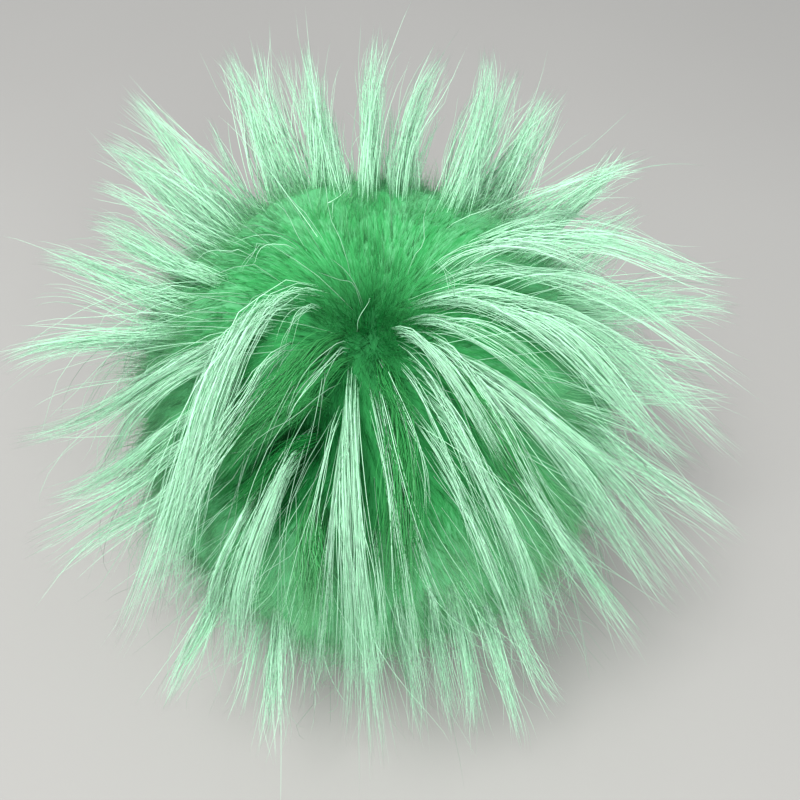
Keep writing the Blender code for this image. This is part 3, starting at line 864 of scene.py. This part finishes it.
def plainLocks():
    look = plainLook
    found = []
    viewer = way(*photoFrom)
    upward = way(photoFrom[0], photoFrom[1] + 90)
    for one in evenWays(look["count"]):
        bearing, rise = bearingOf(one), riseOf(one)
        root = onBall(one)
        if root[2] < look["lowestRoot"]:
            continue
        tipBearing = bearing + chance.uniform(-look["turned"], look["turned"])
        reach = chance.uniform(*look["reach"])
        footFrom, footTo = look["footRise"]
        level = rise < footFrom
        if level:
            low = min(1.0, (footFrom - rise) / (footFrom - footTo))
            longest, shortest = look["footReach"]
            tip = way(tipBearing, 0) * (longest + (shortest - longest) * low)
            tip = tip * chance.uniform(*look["footVaries"])
            tip[2] = look["footHeight"]
        else:
            front = 0.5 - 0.5 * math.cos(math.radians(bearing))
            (rearKeep, rearDrop), (frontKeep, frontDrop) = look["fall"]
            kept = rise * (rearKeep + (frontKeep - rearKeep) * front)
            tipRise = kept - rearDrop - (frontDrop - rearDrop) * front
            aim = way(tipBearing, tipRise)
            below = min(1.0, max(0.0, -(aim @ upward) * reach / look["outlineOver"]))
            allowed = look["outline"][0] + (look["outline"][1] - look["outline"][0]) * below
            across = np.linalg.norm(aim - viewer * (aim @ viewer))
            tip = ball["middle"] + aim * max(look["shortest"], min(reach, allowed / across))
        span = np.linalg.norm(tip - root)
        arch, crownArch = look["arch"]
        lift = root + one * (arch + crownArch * max(0.0, one[2])) * span
        arrival = unit(np.array((tip[0], tip[1], 0.0))) if level else unit(tip - lift)
        settle = tip - arrival * look["arrival"] * span
        away = math.degrees(math.acos(max(-1.0, min(1.0, float(one @ viewer)))))
        hairs = look["hairs"]
        if rise < look["footHairs"][1]:
            hairs = look["footHairs"][0]
        if away < look["hairsSide"][1]:
            hairs = look["hairsSide"][0]
        if away < look["hairsRim"][1]:
            hairs = look["hairsRim"][0] if one[1] < look["rimRear"] else 0
        if away < look["bareTo"] or not hairs:
            continue
        found.append(([root, lift, settle, tip], hairs, look["widths"], look["strewn"]))
    return found


# Behind each lock at the rim stand others that the photo doesn't show, turned further round the ball
behindLook = {
    "turns": (16, 33),
    "varies": 3,
    "rootFrom": 55,
    "fewest": 30,
    "share": 0.45,
    "wider": 0.90,
    "droop": np.array((0.018, 0.036)),  # of the settling point and of the tip, for each radian turned
    "lowest": (0.010, 0.016),  # root and tip
}


def locksBehind(table):
    viewer = way(*photoFrom)
    found = []
    for ends, hairs, widths, strewn in locksFrom(table):
        rays = np.array(ends) - ball["middle"]
        if hairs < behindLook["fewest"] or unit(rays[0]) @ viewer > math.cos(math.radians(behindLook["rootFrom"])):
            continue
        axis = unit(np.cross(viewer, rays[3]))
        for turn in behindLook["turns"]:
            turn = math.radians(turn + chance.uniform(-behindLook["varies"], behindLook["varies"]))
            turned = rays * math.cos(turn) + np.cross(axis, rays) * math.sin(turn)
            turned += axis * (rays @ axis)[:, None] * (1 - math.cos(turn))
            turned[2:, 2] -= behindLook["droop"] * turn * max(0.0, unit(turned[3])[1])
            rootWay = unit(turned[0])
            turned[0] = rootWay * ballRadius(rootWay[None])[0]
            places = list(turned + ball["middle"])
            if places[0][2] < behindLook["lowest"][0] or places[3][2] < behindLook["lowest"][1]:
                continue
            found.append((places, int(hairs * behindLook["share"]), widths * behindLook["wider"], strewn))
    return found


# Single hairs that stand apart all over the ball, finer and greener than those of the locks
looseLook = {
    "count": 2000,
    "lowest": -20.0,
    "behindFrom": 0.15,
    "skipped": 0.78,  # the share that is left out behind the crown
    "reach": ((0.090, 0.116), (0.080, 0.096)),  # in front, then behind the crown
    "onward": ((0.5, 1.6), (0.15, 0.70)),
    "strewn": 0.10,
    "lowestTip": 0.012,
    "lift": (0.25, 0.45),
    "arrival": 0.3,
    "bent": 0.004,
    "beats": (6, 14),
    "waves": 0.0009,
    "width": 0.00017,
    "rootShare": 0.6,
    "tones": (0.40, 0.26),
}


def makeLooseHairs():
    paths = []
    for one in evenWays(looseLook["count"]):
        comb = combed(one)
        behind = bool(comb[1] > looseLook["behindFrom"])
        if riseOf(one) < looseLook["lowest"] or (behind and chance.random() < looseLook["skipped"]):
            continue
        onward = comb * chance.uniform(*looseLook["onward"][behind])
        low = unit(one + onward + chance.normal(0, looseLook["strewn"], 3))
        root = onBall(one)
        tip = ball["middle"] + low * chance.uniform(*looseLook["reach"][behind])
        tip[2] = max(tip[2], looseLook["lowestTip"])
        span = np.linalg.norm(tip - root)
        lift = root + unit(one + 0.5 * comb) * span * chance.uniform(*looseLook["lift"])
        settle = tip - unit(tip - lift) * span * looseLook["arrival"] + chance.normal(0, looseLook["bent"], 3)
        steps = closerAtBends((root, lift, settle, tip), lockLook["points"])
        path = bezier((root, lift, settle, tip), steps)
        sway = np.sin(chance.uniform(*looseLook["beats"]) * steps + chance.uniform(0, 6))[:, None]
        path += sway * chance.normal(0, looseLook["waves"], 3) * np.minimum(1.0, 3 * steps)[:, None]
        path = clearOfBall(path, np.minimum(1.0, 3 * steps))
        path[0] = root
        paths.append(path)
    count = len(paths)
    tones = np.clip(chance.normal(*looseLook["tones"], count), 0, 1)
    rings = lockLook["points"] - 1
    radii = tubeRadii(count, rings, looseLook["width"], lockLook["tipWidth"], looseLook["rootShare"])
    addPiece("looseHairs", hairMesh("looseHairs", np.array(paths), radii, tones), guardMaterial)
    print(f"looseHairs: {count} hairs")


def makeGuardHairs(kind, locks, points, width):
    groups = [[] for quarter in quarters]
    for ends, hairs, widths, strewn in locks:
        aim = unit(ends[3] - ball["middle"])
        groups[quarterOf(aim)].append(lockHairs(ends, hairs, widths, strewn, points))
    for quarter, parts in zip(quarters, groups):
        name = kind + quarter
        paths = np.concatenate(parts)
        count = len(paths)
        tones = np.clip(chance.normal(*lockLook["tones"], count), 0, 1)
        radii = tubeRadii(count, points - 1, width, lockLook["tipWidth"], lockLook["rootShare"])
        radii = radii * chance.uniform(*lockLook["thickness"], (count, 1))
        addPiece(name, hairMesh(name, paths, radii, tones), guardMaterial)
        print(f"{name}: {count} hairs")


# Long tufts of the underfur that lie between the locks, in the same columns with a tone from 0 to 1 at the end,
# kept low as painted shade where a tuft lies in a hollow or near the parting
tuftTable = (
    (194, 54, 206, 62, 73, 219, 44, 79, 219, 33, 81, 150, 0.8, 1.7, 2.5, 3.2, 6, 0.37),
    (193, 68, 199, 63, 73, 210, 51, 79, 217, 41, 81, 200, 2.1, 3.3, 3.7, 3.9, 10, 0.42),
    (196, 38, 193, 35, 73, 192, 26, 79, 191, 17, 100, 220, 2.1, 3.8, 4.5, 4.1, 10, 0.62),
    (175, 64, 171, 53, 73, 174, 34, 79, 176, 16, 81, 180, 1.6, 3.5, 4.5, 5.5, 16, 0.48),
    (148, 67, 156, 54, 73, 142, 28, 79, 137, 12, 81, 130, 2.1, 3.0, 3.6, 4.7, 16, 0.52),
    (208, 73, 201, 65, 73, 216, 49, 79, 220, 39, 81, 150, 1.6, 2.8, 3.5, 4.2, 12, 0.5),
    (197, 48, 203, 50, 73, 209, 39, 79, 213, 27, 81, 120, 1.1, 2.0, 2.5, 3.2, 5, 0.2),
    (178, 69, 176, 60, 73, 175, 59, 79, 167, 52, 81, 110, 1.6, 2.4, 2.9, 3.5, 6, 0.3),
)
tuftLook = {
    "width": 0.00021,
    "rootShare": 0.6,
    "toneSpread": 0.10,
}


def makeTufts():
    paths, tones = [], []
    for row, (ends, hairs, widths, strewn) in zip(tuftTable, locksFrom(tuftTable)):
        paths.append(lockHairs(ends, hairs, widths, strewn, lockLook["points"]))
        tones.append(np.clip(row[17] + chance.normal(0, tuftLook["toneSpread"], hairs), 0, 1))
    paths, tones = np.concatenate(paths), np.concatenate(tones)
    rings = lockLook["points"] - 1
    radii = tubeRadii(len(paths), rings, tuftLook["width"], lockLook["tipWidth"], tuftLook["rootShare"])
    addPiece("underfurTufts", hairMesh("underfurTufts", paths, radii, tones), underfurMaterial)


makeTufts()
makeGuardHairs("guardHairs", locksFrom(lockTable), lockLook["points"], lockLook["width"])
makeGuardHairs("hangingHairs", plainLocks() + locksBehind(lockTable), plainLook["points"], plainLook["width"])
makeLooseHairs()
print("guard hairs made")


floorLook = {
    "size": 2.0,
    "mottle": 5.0,
    "colors": ((0.315, 0.305, 0.29, 1), (0.345, 0.335, 0.32, 1)),
    "roughness": 0.9,
}


def makeFloor():
    floor = bmesh.new()
    bmesh.ops.create_grid(floor, x_segments=1, y_segments=1, size=floorLook["size"])
    mesh = bpy.data.meshes.new("floor")
    floor.to_mesh(mesh)
    floor.free()
    material, tree, shader = newMaterial("paleFloor")
    place = addNode(tree, "TexCoord")
    mottle = addNode(tree, "TexNoise", {"Scale": floorLook["mottle"], "Vector": place.outputs["Object"]})
    ramp = addNode(tree, "ValToRGB", {"Fac": mottle.outputs["Fac"]})
    for stop, color in zip(ramp.color_ramp.elements, floorLook["colors"]):
        stop.color = color
    feed(tree, shader, {"Base Color": ramp.outputs["Color"], "Roughness": floorLook["roughness"]})
    mesh.materials.append(material)
    obj = bpy.data.objects.new("floor", mesh)
    bpy.context.scene.collection.objects.link(obj)


studio = {
    "sky": (0.93, 0.97, 1.0, 1),
    "skyStrength": 0.77,
    "lights": (((-0.30, -0.10, 0.90), 0.45, 8.5), ((0.30, -0.75, 0.50), 0.70, 6.0)),  # place, size, watts
    "distance": 0.280,
    "lens": 36.05,
    "shift": (0.03125, 0.00625),
    "nearest": 0.01,
}


def aimed(name, data, place, target):
    obj = bpy.data.objects.new(name, data)
    bpy.context.scene.collection.objects.link(obj)
    obj.location = place
    obj.rotation_euler = (Vector(target) - Vector(place)).to_track_quat("-Z", "Y").to_euler()
    return obj


def lightStudio():
    world = bpy.data.worlds.new("studio")
    bpy.context.scene.world = world
    world.use_nodes = True
    back = world.node_tree.nodes["Background"]
    feed(world.node_tree, back, {"Color": studio["sky"], "Strength": studio["skyStrength"]})
    for place, size, watts in studio["lights"]:
        lamp = bpy.data.lights.new("softLight", "AREA")
        lamp.shape, lamp.size, lamp.energy = "DISK", size, watts
        aimed("softLight", lamp, place, ball["middle"])
    camera = bpy.data.cameras.new("camera")
    camera.lens = studio["lens"]
    camera.shift_x, camera.shift_y = studio["shift"]
    camera.clip_start = studio["nearest"]
    place = ball["middle"] + way(*photoFrom) * studio["distance"]
    bpy.context.scene.camera = aimed("camera", camera, place, ball["middle"])
    bpy.context.scene.view_settings.view_transform = "Standard"


makeFloor()
lightStudio()
print("floor, lights and camera made")
